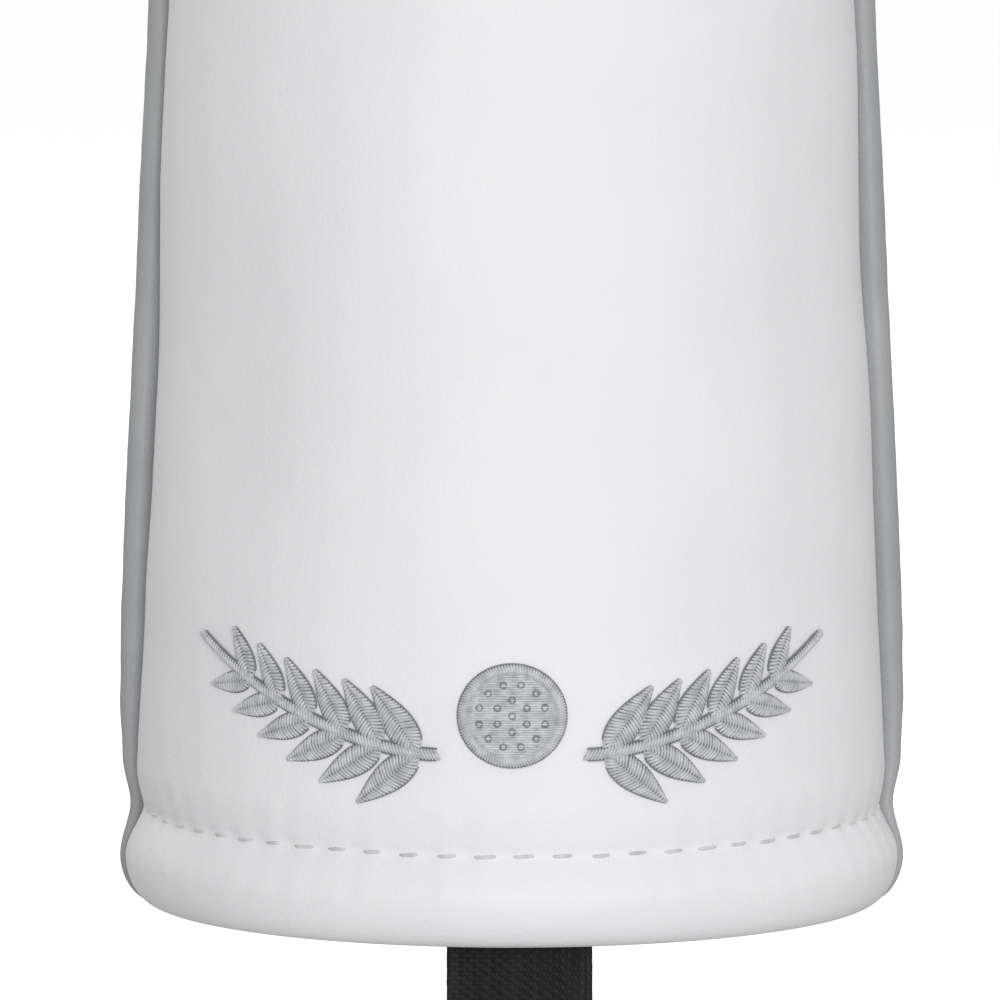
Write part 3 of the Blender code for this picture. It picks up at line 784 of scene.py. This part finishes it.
# ---- Lining ------------------------------------------------------------------------------------------
# Charcoal brushed knit, cut like the panels and sewn into the same seam. Its lower edge lies behind the
# turned-up hem. At the back it passes over the neck elastic.
LINING_FACE = 0.0053
LINING_LOW, LINING_HEIGHT = 0.0052, 0.2448
LINING_COLUMNS, LINING_ROWS, LINING_CROWN_ROWS = 132, 150, 34
LINING_RIB, LINING_RIBS = 0.00018, 62
ELASTIC_BULGE, ELASTIC_HALF = 0.0011, 0.011


def lining_piece(name, back):
    """One half of the lining, ribbed and brushed, with a bulge over the elastic at the back."""
    levels = [(sleeve_point, LINING_LOW + LINING_HEIGHT * j / LINING_ROWS) for j in range(LINING_ROWS + 1)]
    top = levels[-1][1]
    for j in range(1, LINING_CROWN_ROWS + 1):
        levels.append((crown_point, math.sin(math.radians(89 * j / LINING_CROWN_ROWS))))
    limit = math.pi / 2 - math.asin(0.0006 / 0.040)

    def place(i, j):
        angle = limit - 2 * limit * i / (LINING_COLUMNS - 1)
        point_at, where = levels[j]
        height = where if point_at is sleeve_point else top
        depth = LINING_FACE + (ELASTIC_BULGE * bell(height, NECK_GATHER, ELASTIC_HALF) if back else 0.0)
        plain = point_at(angle, where, depth)
        rib = LINING_RIB * math.cos(angle * LINING_RIBS)
        nap = 0.00030 * noise.noise(plain * 420) + 0.0004 * noise.noise(plain * 70)
        more = depth + (rib + nap) * step_up(plain.z, 0.008, 0.018)
        return turned(point_at(angle, where, more), back)

    return grid_piece(name, LINING_COLUMNS, len(levels), place)


knit, nodes, links, shader, place_in = new_finish("knit_lining", (0.045, 0.046, 0.05), 0.95)
fluff = noise_node(nodes, links, place_in, 900, 5, 0.7)
knit_stops = ((0.3, (0.022, 0.022, 0.025)), (0.7, (0.075, 0.076, 0.082)))
links.new(ramp_node(nodes, links, fluff, knit_stops), shader.inputs["Base Color"])
bump_node(nodes, links, fluff, shader, 0.9, 0.0006)
shader.inputs["Sheen Weight"].default_value = 0.6
shader.inputs["Sheen Roughness"].default_value = 0.6
for side, back in (("front", False), ("back", True)):
    lining = lining_piece(f"knit_lining_{side}", back)
    lining.data.materials.append(knit)
    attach(lining, "cover")
    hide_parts(f"lining_{side}")

# ---- Care label --------------------------------------------------------------------------------------
# A folded loop of white satin ribbon, blank, sewn flat inside the back below the neck.
LABEL_LOW, LABEL_HIGH = 0.048, 0.070
LABEL_HALF = 0.0125
LABEL_DEPTH = 0.0062
LABEL_STEPS = 30


def label_place(i, j):
    """The ribbon on the lining, curling away at its free lower edge."""
    across = LABEL_HALF * (2 * i / LABEL_STEPS - 1)
    height = LABEL_LOW + (LABEL_HIGH - LABEL_LOW) * j / LABEL_STEPS
    curl = 0.0006 * (1 - j / LABEL_STEPS) ** 2 + 0.0002 * math.sin(j * 0.5)
    return turned(sleeve_point(-across / 0.042, height, LABEL_DEPTH + curl), True)


label = grid_piece("satin_label", LABEL_STEPS + 1, LABEL_STEPS + 1, label_place)
label_wall = label.modifiers.new("ribbon", "SOLIDIFY")
label_wall.thickness = 0.0004
label_wall.offset = 0
bpy.ops.object.modifier_apply(modifier=label_wall.name)
satin, nodes, links, shader, place_in = new_finish("label_satin", (0.70, 0.70, 0.68), 0.35)
weave = nodes.new("ShaderNodeTexWave")
weave.bands_direction = "Z"
weave.inputs["Scale"].default_value = 1100
links.new(place_in, weave.inputs["Vector"])
bump_node(nodes, links, weave.outputs["Fac"], shader, 0.3, 0.0001)
shader.inputs["Sheen Weight"].default_value = 0.3
label.data.materials.append(satin)
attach(label, "cover")
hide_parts("care_label")

# ---- Pull loop ---------------------------------------------------------------------------------------
# One strip of flat black polypropylene webbing, folded in half. Its two ends are sewn together inside the
# front of the hem, a bar tack joins its layers below the rim, and under that it opens into a loop.
STRAP_HALF = 0.0097
STRAP_SHIFT = 0.0010
WEBBING = 0.0013
STRAP_LENGTH = 0.060
LOOP_OPEN = 0.0052
LOOP_CLOSED = 0.020
TACK_DROP = 0.013
PIVOT = Vector((0.0, -0.0362, -0.0020))
ROOT_TOP = 0.0138
ROOT_BOW, ROOT_ROUND = 0.0375, 0.042


def loop_spread(drop):
    """How far each layer stands from the loop's middle: closed at the tack, and open towards the fold."""
    bottom = STRAP_LENGTH - LOOP_OPEN
    share = step_up(drop, LOOP_CLOSED, bottom)
    return WEBBING / 2 - 0.0002 * bell(drop, TACK_DROP, 0.0016) + (LOOP_OPEN - WEBBING / 2) * share


def root_bow(x):
    """How far the root bends back at a place across it, to lie round the inside of the hem."""
    return ROOT_BOW * (1 - math.sqrt(1 - (x / ROOT_ROUND) ** 2))


def strap_line():
    """Points of the strip's middle from its front end down, round the fold and up to its other end."""
    drops = [-(ROOT_TOP + 0.002) + 0.0007 * k for k in range(102)]
    drops = [drop for drop in drops if drop <= STRAP_LENGTH - LOOP_OPEN]
    line = [(-loop_spread(drop), -drop) for drop in drops]
    for step in range(1, 24):
        turn = math.pi * step / 24
        line.append((-LOOP_OPEN * math.cos(turn), -(STRAP_LENGTH - LOOP_OPEN) - LOOP_OPEN * math.sin(turn)))
    line += [(loop_spread(drop), -drop) for drop in reversed(drops)]
    return line


strip = strap_line()
SECTION = 44


def strap_place(i, j):
    """The strip's outline: flat faces with low ribs along it, and round selvedges."""
    y, z = strip[j]
    after, before = strip[min(j + 1, len(strip) - 1)], strip[max(j - 1, 0)]
    along = Vector((0, after[0] - before[0], after[1] - before[1])).normalized()
    out = Vector((0, -along.z, along.y))
    turn = 2 * math.pi * (i % SECTION) / SECTION
    across = math.cos(turn)
    x = STRAP_HALF * math.copysign(abs(across) ** 0.45, across)
    face = math.copysign(abs(math.sin(turn)) ** 0.32, math.sin(turn))
    pick = 0.00005 * math.cos(j * math.pi) if abs(across) < 0.98 else 0.0
    thick = (WEBBING / 2 - 0.00006 + pick) * face
    height = PIVOT.z + z
    bow = root_bow(x) * step_up(height, -0.012, 0.0)
    point = Vector((x + STRAP_SHIFT, PIVOT.y + y + bow, height)) - out * thick
    point.x += 0.00006 * noise.noise(Vector((0, j * 0.7, 1 if x > 0 else 5))) * abs(across)
    return point


strap = grid_piece("pull_loop", SECTION + 1, len(strip), strap_place)
close_piece(strap)


def webbing_finish():
    """Plain-woven tape: fine ribs along it, crossed by close rows, with a tighter selvedge at each side."""
    finish, nodes, links, shader, place = new_finish("black_webbing", (0.016, 0.016, 0.017), 0.62)
    apart = nodes.new("ShaderNodeSeparateXYZ")
    links.new(place, apart.inputs["Vector"])
    warp = math_node(nodes, links, "SINE", math_node(nodes, links, "MULTIPLY", apart.outputs["X"], 7400), 0)
    weft = math_node(nodes, links, "SINE", math_node(nodes, links, "MULTIPLY", apart.outputs["Z"], 5200), 0)
    shift = math_node(nodes, links, "SINE", math_node(nodes, links, "MULTIPLY", apart.outputs["X"], 3700), 0)
    crossing = math_node(nodes, links, "MULTIPLY", weft, shift)
    woven = math_node(nodes, links, "ADD", math_node(nodes, links, "MULTIPLY", warp, 0.6), crossing)
    stretch = nodes.new("ShaderNodeMapping")
    stretch.inputs["Scale"].default_value = (1.0, 1.0, 0.06)
    links.new(place, stretch.inputs["Vector"])
    streaks = noise_node(nodes, links, stretch.outputs["Vector"], 1500, 3)
    centred = math_node(nodes, links, "SUBTRACT", apart.outputs["X"], STRAP_SHIFT)
    edge = math_node(nodes, links, "ABSOLUTE", centred, 0)
    band = math_node(nodes, links, "GREATER_THAN", edge, 0.0080)
    lighter = math_node(nodes, links, "MULTIPLY", band, 0.14)
    tone = math_node(nodes, links, "ADD", streaks, lighter)
    stops = ((0.25, (0.0050, 0.0050, 0.0054)), (0.75, (0.017, 0.017, 0.018)))
    links.new(ramp_node(nodes, links, tone, stops), shader.inputs["Base Color"])
    bump_node(nodes, links, woven, shader, 0.7, 0.00016)
    shader.inputs["Specular IOR Level"].default_value = 0.22
    return finish


strap.data.materials.append(webbing_finish())
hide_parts("pull_strap", "strap_root")
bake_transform(strap)

# ---- Loop stitching ----------------------------------------------------------------------------------
# A bar tack of dense black zigzag on each face below the rim, and a crossed box of lockstitch that holds
# the strip's ends inside the hem.
black_thread = thread_finish("black_thread", (0.028, 0.028, 0.030), (0.015, 0.015, 0.016), 0.45, 4200)
TACK_HALF = 0.0073
TACK_STITCHES = 46
BOX_HALF, BOX_LOW, BOX_HIGH = 0.0075, 0.0015, 0.0125
BOX_STITCH = 0.0026
for word, face in (("front", -1), ("back", 1)):
    runs = []
    for k in range(TACK_STITCHES):
        x = STRAP_SHIFT - TACK_HALF + 2 * TACK_HALF * k / (TACK_STITCHES - 1)
        slant = 0.00016 if k % 2 else -0.00016
        run = []
        for step in range(6):
            share = step / 5 * 2 - 1
            lift = WEBBING - 0.00020 + 0.00042 * (1 - share ** 4)
            run.append(PIVOT + Vector((x + slant * share, face * lift, -TACK_DROP + 0.00112 * share)))
        runs.append((run, 0.8))
    tack = threads(f"bar_tack_{word}", runs, 0.00021, black_thread)
    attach(tack, "strap")
    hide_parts(f"strap_tack_{word}")

corners = [Vector((x, BOX_LOW)) for x in (-BOX_HALF, BOX_HALF)]
corners += [Vector((x, BOX_HIGH)) for x in (BOX_HALF, -BOX_HALF)]
lines = [(corners[k], corners[(k + 1) % 4]) for k in range(4)]
lines += [(corners[0], corners[2]), (corners[1], corners[3])]
runs = []
for first, last in lines:
    count = round((last - first).length / BOX_STITCH)
    for k in range(count):
        run = []
        for step in range(5):
            share = step / 4
            spot = first.lerp(last, (k + 0.1 + 0.8 * share) / count)
            lift = 0.00016 - 0.0006 * abs(2 * share - 1) ** 4
            run.append(Vector((spot.x + STRAP_SHIFT, PIVOT.y + WEBBING + root_bow(spot.x) + lift, spot.y)))
        runs.append((run, 0.8))
box_stitch = threads("box_stitch", runs, 0.00030, black_thread)
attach(box_stitch, "cover")
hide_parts("root_stitching")

# ---- Layers inside the walls -------------------------------------------------------------------------
# Foam, cord, elastic, stabiliser and the seam's threads are closed in between the leather and the lining.
# Their solids keep their shape and take a finish of their own.


def fibre_finish(name, light, dark, scale, depth):
    finish, nodes, links, shader, place = new_finish(name, light, 0.9)
    speckle = noise_node(nodes, links, place, scale, 4, 0.65)
    links.new(ramp_node(nodes, links, speckle, ((0.3, dark), (0.7, light))), shader.inputs["Base Color"])
    bump_node(nodes, links, speckle, shader, 0.6, depth)
    return finish


foam = fibre_finish("foam", (0.62, 0.60, 0.52), (0.50, 0.48, 0.41), 1400, 0.0003)
cord_cotton = fibre_finish("cord_cotton", (0.60, 0.58, 0.53), (0.48, 0.46, 0.41), 1800, 0.0002)
elastic = fibre_finish("elastic", (0.07, 0.07, 0.07), (0.04, 0.04, 0.04), 900, 0.0002)
stabiliser = fibre_finish("stabiliser", (0.75, 0.75, 0.74), (0.66, 0.66, 0.65), 1200, 0.0001)
inside = (
    (foam, ("padding_front", "padding_back")),
    (cord_cotton, ("piping_cord",)),
    (elastic, ("neck_elastic",)),
    (stabiliser, ("embroidery_backing",)),
    (hem_thread, ("seam_thread_front", "seam_thread_back")),
)
for finish, names in inside:
    for name in names:
        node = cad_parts[name]
        node.data.materials.clear()
        node.data.materials.append(finish)

# ---- Floor and light ---------------------------------------------------------------------------------
# A plain pale floor just under the loop and a round backdrop, which glow and don't light the sleeve. A wide
# soft light stands in front, weaker ones behind and above, in a pale room.
FLOOR_GAP, FLOOR_SIZE, BACKDROP_RADIUS = 0.0006, 80, 12
FLOOR_COLOUR, FLOOR_GLOW, BACKDROP_GLOW = 0.90, 0.57, 0.99
ROOM_LIGHT = 0.46

bpy.ops.object.select_all(action="DESELECT")
floor_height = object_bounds()[0][2] - FLOOR_GAP
bpy.ops.mesh.primitive_plane_add(size=FLOOR_SIZE, location=(0, 0, floor_height))
floor = bpy.context.object
floor.name = "floor"
bpy.ops.mesh.primitive_uv_sphere_add(segments=48, ring_count=24, radius=BACKDROP_RADIUS)
backdrop = bpy.context.object
backdrop.name = "backdrop"
for piece, colour, glow in ((floor, FLOOR_COLOUR, FLOOR_GLOW), (backdrop, 0.0, BACKDROP_GLOW)):
    paper, _, _, shader, _ = new_finish(f"{piece.name}_paper", (colour, colour, colour), 0.9)
    shader.inputs["Emission Color"].default_value = (1, 1, 1, 1)
    shader.inputs["Emission Strength"].default_value = glow
    shader.inputs["Specular IOR Level"].default_value = 0.0
    piece.data.materials.append(paper)
    piece.visible_diffuse = False
    piece.visible_glossy = False
    piece.visible_shadow = False

LIGHTS = (
    ("key", (0.22, -1.7, 0.30), 0.9, 18.5),
    ("back_left", (-1.3, 1.3, 0.8), 0.9, 9.0),
    ("back_right", (1.5, 1.1, 0.8), 0.9, 5.0),
    ("top", (0.0, 0.1, 1.9), 1.4, 3.0),
)
for name, spot, size, power in LIGHTS:
    aim = Vector((0, 0, 0.10)) - Vector(spot)
    bpy.ops.object.light_add(type="AREA", location=spot, rotation=aim.to_track_quat("-Z", "Y").to_euler())
    lamp = bpy.context.object
    lamp.name = f"light_{name}"
    lamp.data.size = size
    lamp.data.energy = power

world = bpy.data.worlds.new("studio")
world.use_nodes = True
world.node_tree.nodes["Background"].inputs["Color"].default_value = (1, 1, 1, 1)
world.node_tree.nodes["Background"].inputs["Strength"].default_value = ROOM_LIGHT
bpy.context.scene.world = world
bpy.context.scene.view_settings.view_transform = "Standard"
